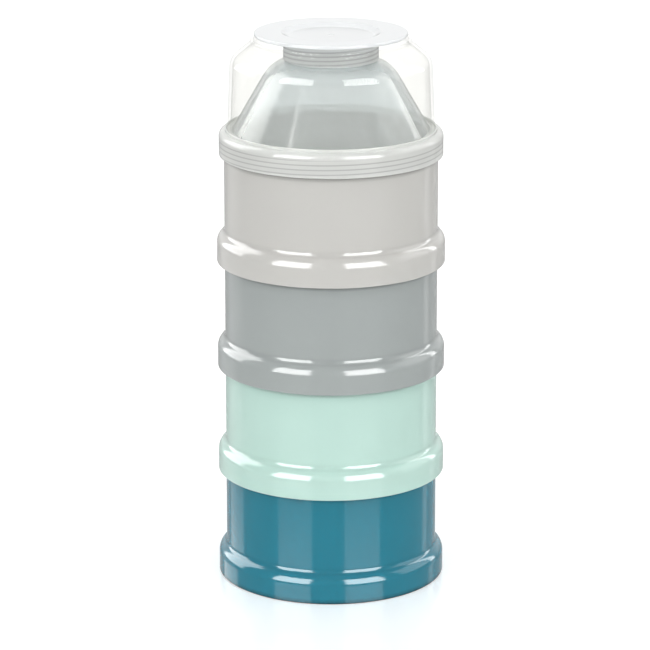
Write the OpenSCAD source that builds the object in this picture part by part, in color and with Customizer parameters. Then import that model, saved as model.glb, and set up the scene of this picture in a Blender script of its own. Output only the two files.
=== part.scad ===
// Stacking formula dispenser: four identical screw-together powder containers, a funnel lid with a
// pouring neck, a screw cap for the neck and a clear hood that stands round the funnel's cone.
// Millimetres, +Z up. The origin is the centre of the bottom rim, on the stack's axis.
// Every screw joint is right-handed: turning the upper piece anticlockwise, seen from above, lifts it.

/* [Containers] */
// Height that each container adds to the stack
pitch = 37.1; // [35:0.1:42]
// Outer radius of the collar round each container's foot
collar_r = 39; // [38.9:0.1:40]
// Height of the collar's upright band
collar_h = 6.6; // [6.2:0.1:7]
// Outer radius of a container's wall
body_r = 36.4; // [36.2:0.1:36.5]
// Thickness of a container's wall
wall = 2.3; // [2.2:0.1:2.4]
// Thickness of a container's floor
floor_t = 1.8; // [1.4:0.1:2.4]

/* [Screw joints] */
// Bore radius inside each collar
collar_bore_r = 37; // [36.9:0.1:37.1]
// Depth of the collar bore, up to the floor or deck above it
collar_depth = 7.5; // [7.4:0.1:7.7]
// Height of the threaded neck on top of each container
neck_h = 6.6; // [6.4:0.1:6.6]
// Rise of the big threads in one full turn
lead = 3.2; // [3:0.1:3.4]
// Radial height of the big thread ridges
ridge_h = 1.3; // [1:0.1:1.3]

/* [Funnel lid] */
// Outer radius of the frosted screw ring
ring_r = 38.1; // [38:0.1:38.3]
// Wall thickness of the cone and the pouring neck
cone_wall = 1.3; // [1:0.1:1.5]
// Slope of the cone above horizontal, in degrees
cone_slope = 60; // [59:0.5:61]
// Radius of the round between the cone and the pouring neck
cone_round = 10; // [9.5:0.5:10]
// Outer radius of the pouring neck under its thread
spout_r = 14.1; // [14:0.1:14.2]

/* [Neck cap] */
// Radius of the cap's disk
disk_r = 26; // [25:0.1:26]
// Thickness of the disk
disk_t = 1.2; // [1:0.1:1.4]
// Outer radius of the cap's threaded skirt
skirt_r = 16.1; // [16.1:0.1:16.3]
// Depth of the dish in the top of the disk
dish_depth = 1.2; // [0.6:0.1:1.3]

/* [Hood] */
// Wall thickness of the hood
hood_wall = 1.1; // [0.9:0.1:1.1]
// Slope of the hood's roof above horizontal, in degrees
roof_slope = 40; // [38:1:41]

/* [Hidden] */
$fn = 160;
round_fn = 32;

// How far joined shapes run into each other, and cuts run past the surface
overlap = 0.3;
past = 1;

// Running gaps of the screw joints
thread_gap = 0.3;
spout_gap = 0.2;
face_gap = 0.05;

// Collar shoulder: a convex round at the top of the band, then a hollow fillet into the wall
shoulder_round = 4;
foot_fillet = 2.1;
fillet_r = body_r + foot_fillet;
shoulder_r = collar_r - shoulder_round;
shoulder_rise = sqrt(pow(shoulder_round + foot_fillet, 2) - pow(fillet_r - shoulder_r, 2));
fillet_z = collar_h + shoulder_rise;
shoulder_turn = atan2(shoulder_rise, fillet_r - shoulder_r);
fillet_bite = 0.005;

// Container inside
floor_z = collar_depth + floor_t;
cavity_r = body_r - wall;
cavity_round = 3;
neck_r = collar_bore_r - thread_gap - ridge_h;
ledge_h = 0.2;
edge_round = 0.5;

// Big thread: ridge section and the heights that its centre line runs between
ridge_base = 1.6;
ridge_tip = 0.8;
thread_start = 1.35;
thread_steps = 48;
thread_margin = 0.08;
thread_end = neck_h - edge_round - ridge_base / 2 - thread_margin;
thread_turns = (thread_end - thread_start) / lead;

// Seal rings lie between the neck below and the floor or deck above
seal_in_r = cavity_r;
seal_out_r = 36.5;
seal_round = 0.25;

// Funnel lid
ring_z = 4 * pitch;
ring_round = 2.1;
deck_t = 1;
deck_z = ring_z + collar_depth;
deck_top = deck_z + deck_t;
lip_in_r = 35.4;
lip_out_r = 36;
lip_h = 0.9;
lip_top = deck_top + lip_h;
cone_foot_r = 34.1;
cone_normal = [sin(cone_slope), cos(cone_slope)];
cone_run = (cone_foot_r - cone_round * cone_normal.x - spout_r) / cos(cone_slope);
round_centre = [spout_r, deck_z + cone_run * sin(cone_slope) - cone_round * cone_normal.y];
cone_top = round_centre.y + cone_round;
spout_h = 6.6;
spout_top = cone_top + spout_h;
spout_bore_r = spout_r - cone_wall;

// Neck cap, stacked up from the top of the pouring neck
liner_t = 0.7;
plate_t = 1.2;
plate_z = spout_top + liner_t + 2 * face_gap;
cap_top = plate_z + plate_t + dish_depth;
skirt_wall = 1.1;
skirt_bore_r = skirt_r - skirt_wall;
liner_r = skirt_bore_r - 0.1;
skirt_bottom = cone_top + 0.5;
dish_r = 16.8;
dish_floor_r = 14.6;
spout_lead = 2.9;
spout_ridge_h = skirt_bore_r - spout_gap - spout_r;
spout_ridge_base = 1.3;
spout_ridge_tip = 0.7;
spout_thread_start = 1.3;
spout_thread_turns = 1.4;
spout_thread_steps = 40;

// Hood
hood_play = 0.2;
hood_bottom = deck_top + 0.1;
hood_foot_r = lip_in_r - hood_play;
hood_shoulder_r = 34.2;
hood_round = 5;
opening_r = disk_r + hood_play;
roof_z = 181;
rim_drop = 0.9;
rim_top = cap_top - disk_t - rim_drop;

// A ring of square section in the (radius, height) plane
module band(r_in, r_out, z0, z1) {
    translate([r_in, z0]) square([r_out - r_in, z1 - z0]);
}

// The same with rounded corners
module round_band(r_in, r_out, z0, z1, r) {
    band(r_in + r, r_out - r, z0, z1);
    band(r_in, r_out, z0 + r, z1 - r);
    for (x = [r_in + r, r_out - r], y = [z0 + r, z1 - r]) translate([x, y]) circle(r, $fn = round_fn);
}

// What a corner at (r, z) loses when it is rounded; dx and dz point out of the solid
module corner_loss(r, z, size, dx, dz) {
    difference() {
        translate([r - (dx > 0 ? size : 0), z - (dz > 0 ? size : 0)]) square(size);
        translate([r - dx * size, z - dz * size]) circle(size, $fn = round_fn);
    }
}

module revolve() {
    rotate_extrude() children();
}

// Section of one helical ridge at angle a: root and tip radii, base and tip widths, centre height z
function ridge_ring(a, root, tip, base, tip_w, z) = [
    [root * cos(a), root * sin(a), z - base / 2],
    [tip * cos(a), tip * sin(a), z - tip_w / 2],
    [tip * cos(a), tip * sin(a), z + tip_w / 2],
    [root * cos(a), root * sin(a), z + base / 2]
];

// How much of its full height the ridge has at step i: it fades in and out over a few steps
function ridge_fade(i, count, steps) = min(1, i / steps, (count - i) / steps);

// A helical ridge on a wall of radius root. It stands out to tip, inwards or outwards, and its root
// is buried in the wall.
module thread_ridge(root, tip, base, tip_w, z0, turns, rise, steps, start) {
    count = floor(turns * steps);
    side = sign(tip - root);
    buried = root - side * overlap;
    hidden = root - side * overlap / 2;
    points = [
        for (i = [0:count])
        let (fade = ridge_fade(i, count, 4))
        each ridge_ring(start + i * 360 / steps, buried, hidden + (tip - hidden) * fade, base, tip_w,
                        z0 + i * rise / steps)
    ];
    walls = [
        for (i = [0:count - 1], k = [0:3])
        let (p = 4 * i + k, q = 4 * i + (k + 1) % 4)
        side > 0 ? [p, q, q + 4, p + 4] : [p, p + 4, q + 4, q]
    ];
    last = 4 * count;
    ends = side > 0
        ? [[3, 2, 1, 0], [last, last + 1, last + 2, last + 3]]
        : [[0, 1, 2, 3], [last + 3, last + 2, last + 1, last]];
    polyhedron(points, concat(walls, ends), convexity = 10);
}

// The ridge on a container's neck, and its partner half a pitch round in the collar above
module neck_thread() {
    thread_ridge(neck_r, neck_r + ridge_h, ridge_base, ridge_tip, thread_start, thread_turns, lead,
                 thread_steps, 0);
}

module collar_thread() {
    thread_ridge(collar_bore_r, collar_bore_r - ridge_h, ridge_base, ridge_tip, thread_start, thread_turns,
                 lead, thread_steps, 180);
}

// Outside of a container below its neck: band, shoulder round, hollow fillet and wall
module container_outline() {
    tangent = [shoulder_r, collar_h] + shoulder_round * [cos(shoulder_turn), sin(shoulder_turn)];
    band(0, collar_r, 0, collar_h);
    translate([shoulder_r, collar_h]) circle(shoulder_round);
    difference() {
        polygon([[0, collar_h], [shoulder_r, collar_h], tangent, [fillet_r, fillet_z], [0, fillet_z]]);
        translate([fillet_r, fillet_z]) circle(foot_fillet + fillet_bite);
    }
    band(0, body_r, fillet_z - overlap, pitch - ledge_h);
    band(0, neck_r, collar_h, pitch + neck_h);
}

// Room for the powder: a cup with a round corner, open at full width through the neck
module container_cavity() {
    band(0, cavity_r - cavity_round, floor_z, floor_z + cavity_round);
    band(0, cavity_r, floor_z + cavity_round, pitch + neck_h + past);
    translate([cavity_r - cavity_round, floor_z + cavity_round]) circle(cavity_round);
}

module container_section() {
    difference() {
        container_outline();
        container_cavity();
        band(0, collar_bore_r, -past, collar_depth);
        corner_loss(collar_r, 0, edge_round, 1, -1);
        corner_loss(collar_bore_r, 0, edge_round, -1, -1);
        corner_loss(neck_r, pitch + neck_h, edge_round, 1, 1);
        corner_loss(cavity_r, pitch + neck_h, edge_round, -1, 1);
    }
}

module container(level) {
    translate([0, 0, level * pitch]) {
        revolve() container_section();
        collar_thread();
        translate([0, 0, pitch]) neck_thread();
    }
}

module seal_ring(level) {
    translate([0, 0, level * pitch])
        revolve()
            round_band(seal_in_r, seal_out_r, neck_h + face_gap, collar_depth - face_gap, seal_round);
}

// Everything under the cone's outer skin, taken in by inset: a straight slope, then a round up to the neck
module cone_fill(inset, foot_z) {
    r = cone_round - inset;
    foot = [cone_foot_r - inset / cone_normal.x - (foot_z - deck_z) / tan(cone_slope), foot_z];
    top = round_centre.y + r;
    polygon([[0, foot_z], foot, round_centre + r * cone_normal, round_centre, [spout_r, top], [0, top]]);
    intersection() {
        translate(round_centre) circle(r);
        band(round_centre.x, round_centre.x + r, round_centre.y, top);
    }
}

module ring_outline() {
    band(0, ring_r, ring_z, deck_top - ring_round);
    band(0, ring_r - ring_round, ring_z, deck_top);
    translate([ring_r - ring_round, deck_top - ring_round]) circle(ring_round);
    band(lip_in_r, lip_out_r, deck_top - overlap, lip_top);
}

module funnel_section() {
    difference() {
        union() {
            ring_outline();
            cone_fill(0, deck_z);
            band(0, spout_r, cone_top - overlap, spout_top);
        }
        cone_fill(cone_wall, deck_z - overlap);
        band(0, spout_bore_r, cone_top - 2 * cone_wall, spout_top + past);
        band(0, collar_bore_r, ring_z - past, deck_z);
        corner_loss(ring_r, ring_z, edge_round, 1, -1);
        corner_loss(spout_r, spout_top, edge_round, 1, 1);
        corner_loss(spout_bore_r, spout_top, edge_round, -1, 1);
    }
}

module cap_section() {
    step_z = cap_top - dish_depth;
    difference() {
        union() {
            round_band(-disk_r, disk_r, cap_top - disk_t, cap_top, edge_round);
            band(0, skirt_r, skirt_bottom, cap_top - disk_t + overlap);
        }
        band(0, skirt_bore_r, skirt_bottom - past, plate_z);
        polygon([[0, step_z], [dish_floor_r, step_z], [dish_r, cap_top], [dish_r, cap_top + past],
                 [0, cap_top + past]]);
        band(-disk_r - past, 0, skirt_bottom, cap_top + past);
        corner_loss(skirt_r, skirt_bottom, edge_round / 2, 1, -1);
    }
}

// The hood's skin, taken in by inset: a wall that leans in, a round, and a roof that slopes to the opening
module hood_fill(inset) {
    lean = atan2(hood_foot_r - hood_shoulder_r, roof_z - hood_bottom);
    turn = 90 - roof_slope - lean;
    r = hood_round - inset;
    back = hood_round * tan(turn / 2);
    wall_dir = [-sin(lean), cos(lean)];
    wall_in = [-cos(lean), -sin(lean)];
    roof_dir = [-cos(roof_slope), sin(roof_slope)];
    corner = [hood_shoulder_r, roof_z];
    centre = corner - back * wall_dir + hood_round * wall_in;
    roof_start = centre + r * [sin(roof_slope), cos(roof_slope)];
    roof_len = (roof_start.x - opening_r) / cos(roof_slope) + 2 * inset;
    roof_end = roof_start + roof_len * roof_dir;
    foot = [hood_foot_r, hood_bottom] + inset * wall_in - inset * wall_dir;
    polygon([[0, foot.y], foot, centre - r * wall_in, centre, roof_start, roof_end, [0, roof_end.y]]);
    translate(centre) circle(r);
}

module hood_section() {
    rim_r = opening_r + hood_wall;
    difference() {
        union() {
            hood_fill(0);
            band(0, rim_r, roof_z, rim_top);
        }
        hood_fill(hood_wall);
        band(0, opening_r, hood_bottom - past, rim_top + past);
        corner_loss(rim_r, rim_top, edge_round, 1, 1);
    }
}

module teal_container() {
    color([0.22, 0.49, 0.57]) container(0);
}

module mint_container() {
    color([0.76, 0.89, 0.85]) container(1);
}

module grey_container() {
    color([0.65, 0.67, 0.67]) container(2);
}

module light_container() {
    color([0.80, 0.80, 0.78]) container(3);
}

module funnel_lid() {
    color([0.86, 0.88, 0.87, 0.5]) {
        revolve() funnel_section();
        translate([0, 0, ring_z]) collar_thread();
        translate([0, 0, cone_top])
            thread_ridge(spout_r, spout_r + spout_ridge_h, spout_ridge_base, spout_ridge_tip,
                         spout_thread_start, spout_thread_turns, spout_lead, spout_thread_steps, 0);
    }
}

module neck_cap() {
    color([0.95, 0.96, 0.96]) {
        revolve() cap_section();
        translate([0, 0, cone_top])
            thread_ridge(skirt_bore_r, skirt_bore_r - spout_ridge_h, spout_ridge_base, spout_ridge_tip,
                         spout_thread_start, spout_thread_turns, spout_lead, spout_thread_steps, 180);
    }
}

module clear_hood() {
    color([0.92, 0.95, 0.96, 0.3]) revolve() hood_section();
}

module seal_ring_1() {
    color([0.93, 0.93, 0.91]) seal_ring(1);
}

module seal_ring_2() {
    color([0.93, 0.93, 0.91]) seal_ring(2);
}

module seal_ring_3() {
    color([0.93, 0.93, 0.91]) seal_ring(3);
}

module seal_ring_4() {
    color([0.93, 0.93, 0.91]) seal_ring(4);
}

module cap_liner() {
    color([0.93, 0.93, 0.91])
        revolve()
            difference() {
                round_band(-liner_r, liner_r, spout_top + face_gap, plate_z - face_gap, seal_round);
                band(-liner_r - past, 0, spout_top, plate_z);
            }
}

teal_container();
mint_container();
grey_container();
light_container();
funnel_lid();
neck_cap();
clear_hood();
seal_ring_1();
seal_ring_2();
seal_ring_3();
seal_ring_4();
cap_liner();
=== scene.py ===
"""A stacking formula dispenser on a pale studio floor.

Four powder containers carry a funnel lid, the cap on its pouring neck and a clear dust hood. Each hard
plastic piece is turned from its outline, finely enough to carry its rounds and its screw threads, in
place of the plainer CAD piece. The seal rings and the cap's liner are the CAD pieces. Outlines are in
millimetres, in the plane (distance from the axis, height), and meshes are in metres.
"""

import math

import bpy
import numpy as np
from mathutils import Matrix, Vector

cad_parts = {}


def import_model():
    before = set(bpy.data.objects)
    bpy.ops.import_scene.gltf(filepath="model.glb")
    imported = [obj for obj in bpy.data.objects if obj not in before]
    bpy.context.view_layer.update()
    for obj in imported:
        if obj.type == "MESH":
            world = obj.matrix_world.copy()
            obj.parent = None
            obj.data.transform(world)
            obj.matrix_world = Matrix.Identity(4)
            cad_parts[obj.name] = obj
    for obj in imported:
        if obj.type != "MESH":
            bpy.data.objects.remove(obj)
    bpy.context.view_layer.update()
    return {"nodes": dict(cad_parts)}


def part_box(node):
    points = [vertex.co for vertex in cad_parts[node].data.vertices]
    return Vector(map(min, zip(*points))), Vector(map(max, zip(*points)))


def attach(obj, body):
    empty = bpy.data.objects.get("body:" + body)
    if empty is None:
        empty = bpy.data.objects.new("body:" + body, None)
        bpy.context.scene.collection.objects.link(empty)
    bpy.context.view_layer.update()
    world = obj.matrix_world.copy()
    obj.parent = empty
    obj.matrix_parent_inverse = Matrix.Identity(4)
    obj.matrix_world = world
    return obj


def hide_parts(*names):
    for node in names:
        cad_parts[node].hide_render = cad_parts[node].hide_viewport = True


MM = 0.001
SEGMENTS = 192          # round the axis
ARC_STEP = 7.5          # degrees along an outline's rounds
THREAD_ROW = 0.2        # height of the mesh rows that carry a thread
GUARD = 0.08            # rows this close to the ends of a straight keep its shading flat
SHARP = math.radians(32)  # edges that turn by more than this are shaded as edges
ON_AXIS = 1e-6          # points nearer to the axis than this are on it
SAME_WALL = 1e-4        # radii that differ by less than this are the same wall
RUN_IN = 12             # a thread's ridge grows to its full height in a turn divided by this

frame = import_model()


# ---------------------------------------------------------------- sizes

def bottom(node):
    """Height of a CAD node's lowest point."""
    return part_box(node)[0].z / MM


def top(node):
    """Height of a CAD node's highest point."""
    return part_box(node)[1].z / MM


def radius(node):
    """Largest distance of a CAD node from the axis."""
    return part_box(node)[1].x / MM


CONTAINERS = ["teal_container", "mint_container", "grey_container", "light_container"]
SEALS = ["seal_ring_1", "seal_ring_2", "seal_ring_3", "seal_ring_4", "cap_liner"]
PITCH = bottom("mint_container") - bottom("teal_container")
COLLAR_R = radius("teal_container")
NECK_TOP = top("teal_container") - bottom("teal_container")
COLLAR_STEP = 2.6       # how far the collar stands out from the wall above it
COLLAR_WALL = 2.0
BODY_WALL = 2.3
THREAD_ROOM = 1.6       # between a neck and the bore that screws over it
BODY_R = COLLAR_R - COLLAR_STEP
BORE_R = COLLAR_R - COLLAR_WALL
BORE_DEPTH = 7.5
FLOOR = 1.8
NECK_R = BORE_R - THREAD_ROOM
CAVITY_R = BODY_R - BODY_WALL
CAVITY_ROUND = 3
SHOULDER_Z = 8.68       # above the collar's foot, where its side and its shoulder would meet
SHOULDER_ROUND = 4
FILLET_Z = 10.51        # above the collar's foot, where its shoulder and the wall would meet
FILLET_ROUND = 2.1
GAP = 0.2               # between pieces that land on or slide through each other
EDGE = 0.5              # the round on an outside edge

RING_Z = bottom("funnel_lid")
RING_R = radius("funnel_lid")
RING_ROUND = 2.05
DECK_Z = RING_Z + BORE_DEPTH
DECK_TOP = DECK_Z + 1
LIP_IN_R = 35.4         # the low lip on the deck, close round the hood's foot
LIP_OUT_R = 36.0
LIP_TOP = RING_Z + 9.4
LIP_ROUND = 0.28
SPOUT_TOP = top("funnel_lid")
SPOUT_R = 14.1
SPOUT_H = 6.6           # of the pouring neck above the cone
CONE_TOP = SPOUT_TOP - SPOUT_H
CONE_WALL = 1.3
CONE_SLOPE = math.radians(60)
CONE_FOOT_R = 34.1      # at the deck's underside
CONE_ROUND = 9.98       # where the cone bends in to the neck

CAP_TOP = top("neck_cap")
DISK_R = radius("neck_cap")
DISK_T = 1.2
PLATE_T = 2.4           # the cap's disk and the plate under it, at the middle
DISH_R = 16.8
DISH_FLOOR_R = 14.6
DISH_Z = CAP_TOP - 1.2
DISH_ROUND = 2.0
NUB_R = 0.9             # the moulding's nub in the middle of the dish
NUB_TOP_R = 0.7
NUB_EDGE_Z = CAP_TOP - 0.95
NUB_TOP_Z = CAP_TOP - 0.9
SKIRT_R = 16.1
SKIRT_BORE_R = 15.0
SKIRT_BOTTOM = CONE_TOP + 0.5

HOOD_BOTTOM = bottom("clear_hood")
HOOD_TOP = top("clear_hood")
HOOD_FOOT_R = radius("clear_hood")
HOOD_WALL = 1.1
HOOD_SHOULDER = (34.2, 181.0)  # distance from the axis and height, where its wall and roof would meet
HOOD_ROUND = 5
ROOF_SLOPE = math.radians(40)


# ---------------------------------------------------------------- outlines

def unit(v):
    return v / np.linalg.norm(v)


def rounded(corners, closed):
    """An outline whose corners (r, z, round) are turned into arcs tangent to both of their sides."""
    points = []
    count = len(corners)
    for i, (r, z, size) in enumerate(corners):
        here = np.array([r, z], float)
        at_end = not closed and i in (0, count - 1)
        if at_end or size <= 0:
            points.append(here)
            continue
        before = unit(np.array(corners[i - 1][:2]) - here)
        after = unit(np.array(corners[(i + 1) % count][:2]) - here)
        half = math.acos(np.clip(before @ after, -1, 1)) / 2
        centre = here + unit(before + after) * size / math.sin(half)
        first = here + before * size / math.tan(half) - centre
        last = here + after * size / math.tan(half) - centre
        a = math.atan2(first[1], first[0])
        sweep = (math.atan2(last[1], last[0]) - a + math.pi) % (2 * math.pi) - math.pi
        steps = max(2, math.ceil(abs(math.degrees(sweep)) / ARC_STEP))
        for k in range(steps + 1):
            t = a + sweep * k / steps
            points.append(centre + size * np.array([math.cos(t), math.sin(t)]))
    return points


def guarded(points, closed):
    """The outline with a point close to each end of every straight that has room for them."""
    out = []
    count = len(points)
    for i, p in enumerate(points):
        out.append(p)
        if i == count - 1 and not closed:
            break
        q = points[(i + 1) % count]
        length = np.linalg.norm(q - p)
        if length > 10 * GUARD:
            step = (q - p) * GUARD / length
            out += [p + step, q - step]
    return out


def inset(corners, wall):
    """The same run of corners moved by wall towards its left, which is the solid side."""
    pts = [np.array(c[:2], float) for c in corners]
    sides = [unit(b - a) for a, b in zip(pts, pts[1:])]
    normals = [np.array([-d[1], d[0]]) for d in sides]
    moved = []
    for i, (p, corner) in enumerate(zip(pts, corners)):
        if i == 0:
            q = p + normals[0] * wall
        elif i == len(pts) - 1:
            q = p + normals[-1] * wall
        else:
            n = normals[i - 1] + normals[i]
            q = p + n * wall / (1 + normals[i - 1] @ normals[i])
        turn = 1
        if 0 < i < len(pts) - 1:
            turn = np.sign(sides[i - 1][0] * sides[i][1] - sides[i - 1][1] * sides[i][0])
        moved.append((q[0], q[1], max(corner[2] - turn * wall, 0.05) if corner[2] else 0))
    return moved


class Thread:
    """A helical ridge on the wall of radius root; out is 1 for a ridge that stands outwards."""

    def __init__(self, root, out, height, start_z, end_z, lead, start_angle, base, tip):
        self.root, self.out, self.height = root, out, height
        self.start_z, self.end_z, self.lead = start_z, end_z, lead
        self.start_angle, self.base, self.tip = start_angle, base, tip

    def turns(self):
        return (self.end_z - self.start_z) / self.lead

    def stands(self, angle, z):
        """How far the ridge stands out of the wall at this angle and height."""
        first = ((angle - self.start_angle) / (2 * math.pi)) % 1
        best = 0.0
        for k in range(math.ceil(self.turns()) + 1):
            t = first + k
            fade = min(1, t * RUN_IN, (self.turns() - t) * RUN_IN)
            if fade <= 0:
                continue
            off = abs(z - self.start_z - t * self.lead)
            rise = (self.base / 2 - off) / ((self.base - self.tip) / 2)
            best = max(best, self.height * fade * min(1, max(0, rise)))
        return best

    def covers(self, z):
        return self.start_z - self.base <= z <= self.end_z + self.base


def with_rows(points, threads, closed):
    """The outline with extra points where a thread runs along it."""
    out = []
    count = len(points)
    for i, p in enumerate(points):
        out.append(p)
        if i == count - 1 and not closed:
            break
        q = points[(i + 1) % count]
        carried = any(abs(p[0] - t.root) < SAME_WALL and abs(q[0] - t.root) < SAME_WALL for t in threads)
        if carried and abs(q[1] - p[1]) > 2 * THREAD_ROW:
            rows = math.ceil(abs(q[1] - p[1]) / THREAD_ROW)
            out += [p + (q - p) * k / rows for k in range(1, rows)]
    return out


def turned(name, corners, closed=True, threads=()):
    """A mesh object turned from an outline that runs anticlockwise round the solid."""
    outline = with_rows(guarded(rounded(corners, closed), closed), threads, closed)
    verts, faces, rings = [], [], []
    for r, z in outline:
        if r < ON_AXIS:
            rings.append([len(verts)])
            verts.append((0, 0, z * MM))
            continue
        rings.append(range(len(verts), len(verts) + SEGMENTS))
        on = [t for t in threads if abs(r - t.root) < SAME_WALL and t.covers(z)]
        for k in range(SEGMENTS):
            a = 2 * math.pi * k / SEGMENTS
            rr = r + sum(t.out * t.stands(a, z) for t in on)
            verts.append((rr * math.cos(a) * MM, rr * math.sin(a) * MM, z * MM))
    pairs = list(zip(rings, rings[1:]))
    if closed:
        pairs.append((rings[-1], rings[0]))
    for low, high in pairs:
        for k in range(SEGMENTS):
            n = (k + 1) % SEGMENTS
            if len(low) == 1:
                faces.append((low[0], high[n], high[k]))
            elif len(high) == 1:
                faces.append((low[k], low[n], high[0]))
            else:
                faces.append((low[k], low[n], high[n], high[k]))
    mesh = bpy.data.meshes.new(name)
    mesh.from_pydata(verts, [], faces)
    mesh.validate()
    mesh.shade_smooth()
    mesh.set_sharp_from_angle(angle=SHARP)
    obj = bpy.data.objects.new(name, mesh)
    bpy.context.scene.collection.objects.link(obj)
    return obj


def place(obj, node, material):
    """obj takes the CAD node's place, moves with its body, and wears material."""
    obj.data.materials.append(material)
    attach(obj, node)
    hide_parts(node)


# ---------------------------------------------------------------- the pieces

def collar_thread(z, out, root, start):
    """The big thread, measured from the foot of the joint at height z."""
    return Thread(root, out, height=1.3, start_z=z + 1.35, end_z=z + 5.2, lead=3.2,
                  start_angle=start, base=1.6, tip=0.8)


def cap_thread(out, root, start):
    """The small thread between the pouring neck and its cap."""
    return Thread(root, out, height=0.7, start_z=CONE_TOP + 1.3, end_z=CONE_TOP + 5.36, lead=2.9,
                  start_angle=start, base=1.3, tip=0.7)


def container_piece(node):
    z = bottom(node)
    neck_top = z + NECK_TOP
    ledge = z + PITCH - GAP
    floor_z = z + BORE_DEPTH + FLOOR
    corners = [
        (0, z + BORE_DEPTH, 0),
        (BORE_R, z + BORE_DEPTH, 0.4),
        (BORE_R, z, EDGE),
        (COLLAR_R, z, EDGE),
        (COLLAR_R, z + SHOULDER_Z, SHOULDER_ROUND),
        (BODY_R, z + FILLET_Z, FILLET_ROUND),
        (BODY_R, ledge, 0.1),
        (NECK_R, ledge, 0.05),
        (NECK_R, neck_top, EDGE),
        (CAVITY_R, neck_top, EDGE),
        (CAVITY_R, floor_z, CAVITY_ROUND),
        (0, floor_z, 0),
    ]
    threads = [
        collar_thread(z, -1, BORE_R, math.pi),
        collar_thread(z + PITCH, 1, NECK_R, 0),
    ]
    return turned(node + "_shell", corners, False, threads)


def funnel_piece():
    corner_r = CONE_FOOT_R - (CONE_TOP - DECK_Z) / math.tan(CONE_SLOPE)
    foot_r = CONE_FOOT_R - (DECK_TOP - DECK_Z) / math.tan(CONE_SLOPE)
    in_foot_r = CONE_FOOT_R - CONE_WALL / math.sin(CONE_SLOPE)
    in_top = CONE_TOP - CONE_WALL
    in_corner_r = in_foot_r - (in_top - DECK_Z) / math.tan(CONE_SLOPE)
    bore_r = SPOUT_R - CONE_WALL
    corners = [
        (BORE_R, RING_Z, 0.3),
        (RING_R, RING_Z, EDGE),
        (RING_R, DECK_TOP, RING_ROUND),
        (LIP_OUT_R, DECK_TOP, 0),
        (LIP_OUT_R, LIP_TOP, LIP_ROUND),
        (LIP_IN_R, LIP_TOP, LIP_ROUND),
        (LIP_IN_R, DECK_TOP, 0.1),
        (foot_r, DECK_TOP, 0.3),
        (corner_r, CONE_TOP, CONE_ROUND),
        (SPOUT_R, CONE_TOP, 0),
        (SPOUT_R, SPOUT_TOP, EDGE),
        (bore_r, SPOUT_TOP, EDGE),
        (bore_r, in_top, 0),
        (in_corner_r, in_top, CONE_ROUND - CONE_WALL),
        (in_foot_r, DECK_Z, 0.3),
        (BORE_R, DECK_Z, 0.2),
    ]
    threads = [
        collar_thread(RING_Z, -1, BORE_R, math.pi),
        cap_thread(1, SPOUT_R, 0),
    ]
    return turned("funnel_lid_shell", corners, True, threads)


def cap_piece():
    underside = CAP_TOP - DISK_T
    plate = CAP_TOP - PLATE_T
    corners = [
        (0, plate, 0),
        (SKIRT_BORE_R, plate, 0.2),
        (SKIRT_BORE_R, SKIRT_BOTTOM, 0.2),
        (SKIRT_R, SKIRT_BOTTOM, 0.25),
        (SKIRT_R, underside, 0.3),
        (DISK_R, underside, 0.5),
        (DISK_R, CAP_TOP, 0.55),
        (DISH_R, CAP_TOP, 0.5),
        (DISH_FLOOR_R, DISH_Z, DISH_ROUND),
        (NUB_R, DISH_Z, 0.3),
        (NUB_TOP_R, NUB_EDGE_Z, 0.2),
        (0, NUB_TOP_Z, 0),
    ]
    return turned("neck_cap_shell", corners, False, [cap_thread(-1, SKIRT_BORE_R, math.pi)])


def hood_piece():
    opening_r = DISK_R + GAP
    rim_r = opening_r + HOOD_WALL
    shoulder_r, shoulder_z = HOOD_SHOULDER
    roof_z = shoulder_z + (shoulder_r - rim_r) * math.tan(ROOF_SLOPE)
    roof_end = shoulder_z + (shoulder_r - opening_r) * math.tan(ROOF_SLOPE)
    skin = [(HOOD_FOOT_R, HOOD_BOTTOM, 0), (shoulder_r, shoulder_z, HOOD_ROUND), (opening_r, roof_end, 0)]
    inner = inset(skin, HOOD_WALL)
    roof_dir = unit(np.array(skin[2][:2]) - np.array(skin[1][:2]))
    back = (opening_r - inner[2][0]) / roof_dir[0]
    inner_end = np.array(inner[2][:2]) + roof_dir * back
    corners = [
        (HOOD_FOOT_R, HOOD_BOTTOM, 0.35),
        (shoulder_r, shoulder_z, HOOD_ROUND),
        (rim_r, roof_z, 0.3),
        (rim_r, HOOD_TOP, 0.5),
        (opening_r, HOOD_TOP, 0.3),
        (opening_r, inner_end[1], 0.3),
        inner[1],
        (inner[0][0], HOOD_BOTTOM, 0.35),
    ]
    return turned("clear_hood_shell", corners, True)


# ---------------------------------------------------------------- materials

class Wiring:
    """Short ways to add nodes to one node tree."""

    def __init__(self, tree):
        self.nodes, self.links = tree.nodes, tree.links

    def feed(self, socket, value):
        if isinstance(value, (int, float)):
            socket.default_value = value
        else:
            self.links.new(value, socket)

    def maths(self, operation, a, b=0.0):
        node = self.nodes.new("ShaderNodeMath")
        node.operation = operation
        self.feed(node.inputs[0], a)
        self.feed(node.inputs[1], b)
        return node.outputs[0]

    def mix(self, share, first, second):
        """A shader node that is first, and second by this share."""
        node = self.nodes.new("ShaderNodeMixShader")
        self.feed(node.inputs["Fac"], share)
        self.links.new(first.outputs[0], node.inputs[1])
        self.links.new(second.outputs[0], node.inputs[2])
        return node

    def ramp(self, value, start, end):
        """0 before start and 1 after end, with a smooth rise between them."""
        node = self.nodes.new("ShaderNodeMapRange")
        node.interpolation_type = "SMOOTHSTEP"
        node.inputs["From Min"].default_value = start
        node.inputs["From Max"].default_value = end
        self.feed(node.inputs["Value"], value)
        return node.outputs["Result"]

    def window(self, value, low, high, soft):
        """1 between low and high, with soft edges."""
        rise = self.ramp(value, low - soft, low + soft)
        fall = self.ramp(value, high + soft, high - soft)
        return self.maths("MULTIPLY", rise, fall)


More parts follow.
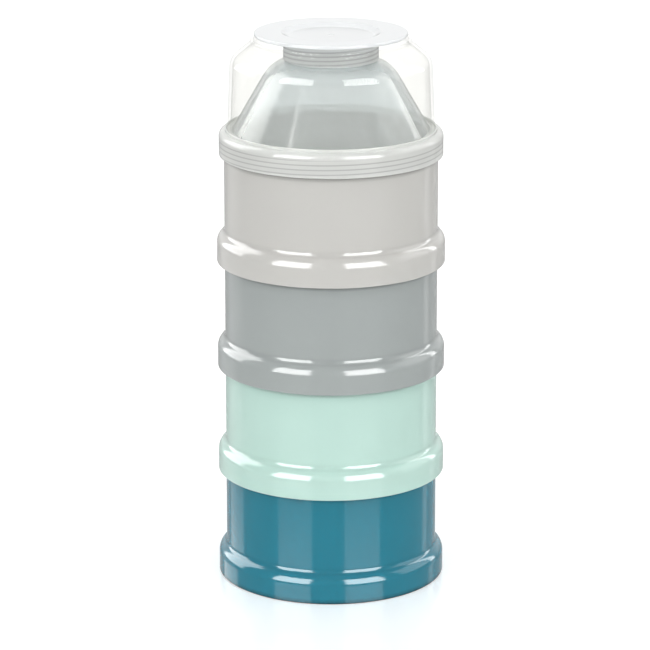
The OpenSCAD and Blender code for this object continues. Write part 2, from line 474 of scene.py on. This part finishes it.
PLASTIC_IOR = 1.49
CORNER_REACH = 2.0     # how near a surface must be for a corner to get painted shade
CORNER_DEPTH = 1.6     # how dark the painted corner shade gets
EDGE_LINE = 0.35       # width of the painted line of shade that a thread's edge shows as
EDGE_SHADE = 0.8       # the painted line's brightness beside the plastic's
GRAIN_DETAIL = 3
GRAIN_DEPTH = 0.1      # of the moulding texture
ROUGHNESS_SPREAD = 0.02


def linear(colour):
    """sRGB 0-255 to the linear colour that a shader takes."""
    c = [v / 255 for v in colour]
    return [v / 12.92 if v <= 0.04045 else ((v + 0.055) / 1.055) ** 2.4 for v in c] + [1]


def blank_material(name):
    mat = bpy.data.materials.new(name)
    mat.use_nodes = True
    mat.node_tree.nodes.clear()
    return mat, mat.node_tree.nodes, mat.node_tree.links


def fine_bump(nodes, links, scale, strength):
    """A faint moulding texture: a little noise, and the normal that it gives."""
    coords = nodes.new("ShaderNodeTexCoord")
    noise = nodes.new("ShaderNodeTexNoise")
    noise.inputs["Scale"].default_value = scale
    noise.inputs["Detail"].default_value = GRAIN_DETAIL
    links.new(coords.outputs["Object"], noise.inputs["Vector"])
    bump = nodes.new("ShaderNodeBump")
    bump.inputs["Strength"].default_value = strength
    bump.inputs["Distance"].default_value = GRAIN_DEPTH * MM
    links.new(noise.outputs["Fac"], bump.inputs["Height"])
    return noise, bump


def painted_corner_shade(nodes, links, colour):
    """The colour with painted shade: darker where another surface stands close by."""
    near = nodes.new("ShaderNodeAmbientOcclusion")
    near.inputs["Distance"].default_value = CORNER_REACH * MM
    depth = nodes.new("ShaderNodeMath")
    depth.operation = "POWER"
    links.new(near.outputs["AO"], depth.inputs[0])
    depth.inputs[1].default_value = CORNER_DEPTH
    shaded = nodes.new("ShaderNodeMix")
    shaded.data_type = "RGBA"
    links.new(depth.outputs[0], shaded.inputs["Factor"])
    shaded.inputs["A"].default_value = (0, 0, 0, 1)
    shaded.inputs["B"].default_value = colour
    return shaded.outputs["Result"]


def plastic(name, colour, roughness, corners=True):
    """Glossy coloured plastic or rubber, with painted shade in its corners unless corners is False. The soft
    pale rubber goes without that painted shade, as light inside a soft pale rubber keeps its corners from
    darkening.
    """
    mat, nodes, links = blank_material(name)
    out = nodes.new("ShaderNodeOutputMaterial")
    shader = nodes.new("ShaderNodeBsdfPrincipled")
    shader.inputs["IOR"].default_value = PLASTIC_IOR
    # painted shade: the base colour darkens in corners where another surface stands close by
    if corners:
        links.new(painted_corner_shade(nodes, links, linear(colour)), shader.inputs["Base Color"])
    else:
        shader.inputs["Base Color"].default_value = linear(colour)
    noise, bump = fine_bump(nodes, links, scale=900, strength=0.06)
    spread = nodes.new("ShaderNodeMapRange")
    spread.inputs["To Min"].default_value = roughness - ROUGHNESS_SPREAD
    spread.inputs["To Max"].default_value = roughness + ROUGHNESS_SPREAD
    links.new(noise.outputs["Fac"], spread.inputs["Value"])
    links.new(spread.outputs["Result"], shader.inputs["Roughness"])
    links.new(bump.outputs["Normal"], shader.inputs["Normal"])
    links.new(shader.outputs["BSDF"], out.inputs["Surface"])
    return mat


def both_sided_fresnel(nodes, links):
    """Fresnel reflection of a thin skin: the same from either side, so that nothing is trapped inside."""
    side = nodes.new("ShaderNodeNewGeometry")
    ior = nodes.new("ShaderNodeMapRange")
    ior.inputs["To Min"].default_value = PLASTIC_IOR
    ior.inputs["To Max"].default_value = 1 / PLASTIC_IOR
    links.new(side.outputs["Backfacing"], ior.inputs["Value"])
    fresnel = nodes.new("ShaderNodeFresnel")
    links.new(ior.outputs["Result"], fresnel.inputs["IOR"])
    return fresnel


def painted_thread_lines(wire, threads):
    """1 on the wall in front of these threads' edges, where lines of shade are painted for the edges behind
    it, and 0 elsewhere.
    """
    coords = wire.nodes.new("ShaderNodeTexCoord")
    split = wire.nodes.new("ShaderNodeSeparateXYZ")
    wire.links.new(coords.outputs["Object"], split.inputs["Vector"])
    x, y, z = split.outputs
    turned_by = wire.maths("DIVIDE", wire.maths("ARCTAN2", y, x), 2 * math.pi)
    height = wire.maths("DIVIDE", z, MM)
    edges = 0.0
    for t in threads:
        rise = wire.maths("DIVIDE", wire.maths("SUBTRACT", height, t.start_z), t.lead)
        turn = wire.maths("SUBTRACT", turned_by, t.start_angle / (2 * math.pi))
        phase = wire.maths("FRACT", wire.maths("ADD", wire.maths("SUBTRACT", rise, turn), 0.5))
        off = wire.maths("MULTIPLY", wire.maths("ABSOLUTE", wire.maths("SUBTRACT", phase, 0.5)), t.lead)
        line = wire.window(off, t.base / 2 - EDGE_LINE / 2, t.base / 2 + EDGE_LINE / 2, EDGE_LINE / 2)
        along = wire.window(height, t.start_z - t.base / 2, t.end_z + t.base / 2, EDGE_LINE)
        edges = wire.maths("MAXIMUM", edges, wire.maths("MULTIPLY", line, along))
    return edges


def see_through(name, tint, milk, milk_colour, roughness, glow=0.15, shine=1.0, threads=()):
    """Clear or cloudy plastic under a glossy skin.

    milk is the share of the surface that scatters light, glow is the part of that which shines through from
    behind, and shine scales the reflection. The edges of threads behind the wall are painted on it as darker
    lines of shade.
    """
    mat, nodes, links = blank_material(name)
    wire = Wiring(mat.node_tree)
    out = nodes.new("ShaderNodeOutputMaterial")
    clear = nodes.new("ShaderNodeBsdfTransparent")
    clear.inputs["Color"].default_value = linear(tint)
    front = nodes.new("ShaderNodeBsdfDiffuse")
    front.inputs["Color"].default_value = linear(milk_colour)
    # painted shade: darker lines drawn in the milk colour over the edges of the threads behind the wall
    if threads:
        thread_shade = nodes.new("ShaderNodeMix")
        thread_shade.data_type = "RGBA"
        thread_shade.inputs["A"].default_value = linear(milk_colour)
        thread_shade.inputs["B"].default_value = linear([EDGE_SHADE * c for c in milk_colour])
        links.new(painted_thread_lines(wire, threads), thread_shade.inputs["Factor"])
        links.new(thread_shade.outputs["Result"], front.inputs["Color"])
    through = nodes.new("ShaderNodeBsdfTranslucent")
    through.inputs["Color"].default_value = linear(milk_colour)
    cloud = wire.mix(glow, front, through)
    body = wire.mix(milk, clear, cloud)
    gloss = nodes.new("ShaderNodeBsdfGlossy")
    gloss.inputs["Roughness"].default_value = roughness
    _, bump = fine_bump(nodes, links, scale=700, strength=0.04)
    links.new(bump.outputs["Normal"], gloss.inputs["Normal"])
    fresnel = both_sided_fresnel(nodes, links)
    skin = wire.mix(wire.maths("MULTIPLY", fresnel.outputs["Fac"], shine), body, gloss)
    links.new(skin.outputs[0], out.inputs["Surface"])
    return mat


COLOURS = {
    "teal_container": ("teal_plastic", (30, 121, 141)),
    "mint_container": ("mint_plastic", (188, 219, 209)),
    "grey_container": ("grey_plastic", (161, 167, 166)),
    "light_container": ("light_plastic", (197, 196, 192)),
}


def wear(obj, material, chosen):
    """The faces whose centre (distance from the axis, height) is chosen wear this material instead."""
    obj.data.materials.append(material)
    for face in obj.data.polygons:
        centre = face.center / MM
        if chosen(math.hypot(centre.x, centre.y), centre.z):
            face.material_index = len(obj.data.materials) - 1


def build_containers():
    for node in CONTAINERS:
        slot_name, colour = COLOURS[node]
        # the containers' colours carry painted shade in their corners
        place(container_piece(node), node, plastic(slot_name, colour, roughness=0.1))


FROST_IN_R = CONE_FOOT_R - 0.3      # the frosted ring lies outside this
FROST_TOP = DECK_Z + 1.95
RIM_IN_R = CONE_FOOT_R - 2.4        # a milky band under the cone's foot, painted bright as a highlight, lies between this and the ring
RIM_TOP = DECK_Z + 0.8


def build_funnel():
    """The clear cone and neck, the frosted screw ring with its thread painted on as lines of shade, and a
    milky band between them painted as a highlight.
    """
    cone_look = see_through("funnel_plastic", tint=(250, 253, 254), milk=0.27, milk_colour=(252, 255, 255),
                            roughness=0.08, glow=0)
    funnel = funnel_piece()
    place(funnel, "funnel_lid", cone_look)
    screw = [collar_thread(RING_Z, -1, BORE_R, math.pi), collar_thread(RING_Z, 1, NECK_R, 0)]
    # the ring's thread edges are painted on it as lines of shade
    ring_look = see_through("ring_plastic", tint=(248, 249, 248), milk=0.65, milk_colour=(246, 247, 244),
                            roughness=0.15, threads=screw)
    wear(funnel, ring_look, lambda r, z: r > FROST_IN_R and z < FROST_TOP)
    # painted highlight: the faces under the cone's foot are made near-white so that they show as a bright arc
    painted_rim_highlight = see_through("rim_painted_highlight", tint=(248, 249, 248), milk=0.95, milk_colour=(252, 252, 250),
                           roughness=0.15)
    wear(funnel, painted_rim_highlight, lambda r, z: RIM_IN_R < r < FROST_IN_R and z < RIM_TOP)


SKIN = 0.1      # the skirt's outer faces lie within this of its side and its underside


def build_cap():
    """The milky disk, and the skirt, on which its thread is painted as lines of shade."""
    cap = cap_piece()
    disk_look = see_through("cap_plastic", tint=(248, 249, 249), milk=0.96, milk_colour=(246, 248, 249),
                            roughness=0.12)
    place(cap, "neck_cap", disk_look)
    screw = [cap_thread(-1, SKIRT_BORE_R, math.pi), cap_thread(1, SPOUT_R, 0)]
    # the skirt's thread edges are painted on it as lines of shade
    skirt_look = see_through("skirt_plastic", tint=(248, 249, 249), milk=0.65, milk_colour=(246, 247, 247),
                             roughness=0.15, threads=screw)
    wear(cap, skirt_look, lambda r, z: r < SKIRT_R + SKIN and z < CAP_TOP - DISK_T - SKIN)


def build_hood():
    look = see_through("hood_plastic", tint=(251, 251, 250), milk=0.03, milk_colour=(236, 237, 236),
                       roughness=0.03, shine=0.4)
    place(hood_piece(), "clear_hood", look)


def dress_seals():
    rubber = plastic("silicone", (246, 247, 245), roughness=0.45, corners=False)
    for node in SEALS:
        seal = frame["nodes"][node]
        seal.data.materials.clear()
        seal.data.materials.append(rubber)


# ---------------------------------------------------------------- studio

# What gloss sees round the object: panels as (azimuths, elevations, brightness, edge softness), in degrees
# and in units of a white surface. Azimuth 0 is towards the camera and grows to its right.
PANELS = [
    ((-60, -21), (-6, 41), 13, 1.0),
    ((14.6, 55), (-6, 41), 13, 1.0),
    ((-60, -21), (-60, -19.2), 1.9, 1.0),
    ((14.6, 55), (-60, -19.2), 1.9, 1.0),
    ((-145, -113), (-60, 0), 0.4, 2),
    ((-145, -113), (-60, -19.4), 1.1, 1.0),
    ((-140, -101), (0, 50), 6, 3),
    ((121, 131), (-60, 0), 0.6, 1.5),
    ((121, 131), (0, 50), 6, 1.5),
    ((77, 118), (5, 45), 2, 3),
    ((-200, -135), (0, 70), 0.8, 10),
    ((135, 200), (0, 70), 0.8, 10),
]
GLOSS_BASE = 0.55       # what gloss sees between the panels
AMBIENT = 0.3           # the soft light, from everywhere
FRONT_GLOW = 0.8        # more of it from the front
TOP_GLOW = 0.7          # and from above
FRONT_FOCUS = 2.0       # how closely the front light keeps to its direction
FRONT_ELEVATION = math.radians(30)
FRONT_DIRECTION = (0, -math.cos(FRONT_ELEVATION), math.sin(FRONT_ELEVATION))
BACKDROP = 1.0          # what the camera sees behind everything
FLOOR_HALF = 4          # metres
FLOOR_WHITE = 0.9
FLOOR_ROUGHNESS = 0.2
FLOOR_LIFT = 0.25       # light that the floor gives to the camera alone


def floor():
    mesh = bpy.data.meshes.new("floor")
    corners = [(x * FLOOR_HALF, y * FLOOR_HALF, 0) for x, y in [(-1, -1), (1, -1), (1, 1), (-1, 1)]]
    mesh.from_pydata(corners, [], [(0, 1, 2, 3)])
    obj = bpy.data.objects.new("floor", mesh)
    bpy.context.scene.collection.objects.link(obj)
    obj.visible_glossy = False
    mat, nodes, links = blank_material("floor_white")
    wire = Wiring(mat.node_tree)
    out = nodes.new("ShaderNodeOutputMaterial")
    shader = nodes.new("ShaderNodeBsdfPrincipled")
    shader.inputs["Base Color"].default_value = (FLOOR_WHITE, FLOOR_WHITE, FLOOR_WHITE, 1)
    shader.inputs["Roughness"].default_value = FLOOR_ROUGHNESS
    shader.inputs["Emission Color"].default_value = (1, 1, 1, 1)
    path = nodes.new("ShaderNodeLightPath")
    lift = wire.maths("MULTIPLY", path.outputs["Is Camera Ray"], FLOOR_LIFT)
    links.new(lift, shader.inputs["Emission Strength"])
    links.new(shader.outputs["BSDF"], out.inputs["Surface"])
    mesh.materials.append(mat)


def world():
    """A white studio: even soft light with more from the front and above, and panels that only gloss sees."""
    studio = bpy.data.worlds.new("studio")
    studio.use_nodes = True
    studio.cycles.sampling_method = "NONE"
    tree = studio.node_tree
    tree.nodes.clear()
    wire = Wiring(tree)
    coords = tree.nodes.new("ShaderNodeTexCoord")
    split = tree.nodes.new("ShaderNodeSeparateXYZ")
    tree.links.new(coords.outputs["Generated"], split.inputs["Vector"])
    x, y, z = split.outputs
    to_degrees = 180 / math.pi
    ahead = wire.maths("MULTIPLY", y, -1.0)
    azimuth = wire.maths("MULTIPLY", wire.maths("ARCTAN2", x, ahead), to_degrees)
    elevation = wire.maths("MULTIPLY", wire.maths("ARCSINE", z), to_degrees)
    gloss = GLOSS_BASE
    for azimuths, elevations, brightness, soft in PANELS:
        across = wire.window(azimuth, *azimuths, soft)
        up = wire.window(elevation, *elevations, soft)
        panel = wire.maths("MULTIPLY", wire.maths("MULTIPLY", across, up), brightness)
        gloss = wire.maths("ADD", gloss, panel)
    facing = tree.nodes.new("ShaderNodeVectorMath")
    facing.operation = "DOT_PRODUCT"
    facing.inputs[1].default_value = FRONT_DIRECTION
    tree.links.new(coords.outputs["Generated"], facing.inputs[0])
    front = wire.maths("POWER", wire.maths("MAXIMUM", facing.outputs["Value"], 0.0), FRONT_FOCUS)
    soft_light = wire.maths("ADD", AMBIENT, wire.maths("MULTIPLY", front, FRONT_GLOW))
    above = wire.maths("MULTIPLY", wire.maths("MAXIMUM", z, 0.0), TOP_GLOW)
    soft_light = wire.maths("ADD", soft_light, above)
    path = tree.nodes.new("ShaderNodeLightPath")
    seen = tree.nodes.new("ShaderNodeMix")
    wire.feed(seen.inputs["Factor"], path.outputs["Is Glossy Ray"])
    wire.feed(seen.inputs["A"], soft_light)
    wire.feed(seen.inputs["B"], gloss)
    shown = tree.nodes.new("ShaderNodeMix")
    wire.feed(shown.inputs["Factor"], path.outputs["Is Camera Ray"])
    wire.feed(shown.inputs["A"], seen.outputs["Result"])
    shown.inputs["B"].default_value = BACKDROP
    background = tree.nodes.new("ShaderNodeBackground")
    out = tree.nodes.new("ShaderNodeOutputWorld")
    tree.links.new(shown.outputs["Result"], background.inputs["Strength"])
    tree.links.new(background.outputs["Background"], out.inputs["Surface"])
    background.inputs["Color"].default_value = (1, 1, 1, 1)
    bpy.context.scene.world = studio


SENSOR = 36             # millimetres wide
LENS = 188.3            # millimetres
LENS_SHIFT = -0.0093
CAMERA_PLACE = (0, -1.125, 0.4085)  # metres
CAMERA_DOWN = 15.91     # degrees below the horizontal
CLIP_END = 20           # metres


def camera():
    data = bpy.data.cameras.new("camera")
    data.sensor_width = SENSOR
    data.lens = LENS
    data.shift_x = LENS_SHIFT
    data.clip_end = CLIP_END
    obj = bpy.data.objects.new("camera", data)
    obj.location = CAMERA_PLACE
    obj.rotation_euler = (math.radians(90 - CAMERA_DOWN), 0, 0)
    bpy.context.scene.collection.objects.link(obj)
    bpy.context.scene.camera = obj


def render_looks():
    scene = bpy.context.scene
    scene.view_settings.view_transform = "Standard"
    scene.cycles.transparent_max_bounces = 32
    scene.cycles.max_bounces = 12
    scene.cycles.diffuse_bounces = 6
    scene.cycles.glossy_bounces = 6


build_containers()
build_funnel()
build_cap()
build_hood()
dress_seals()
floor()
world()
camera()
render_looks()
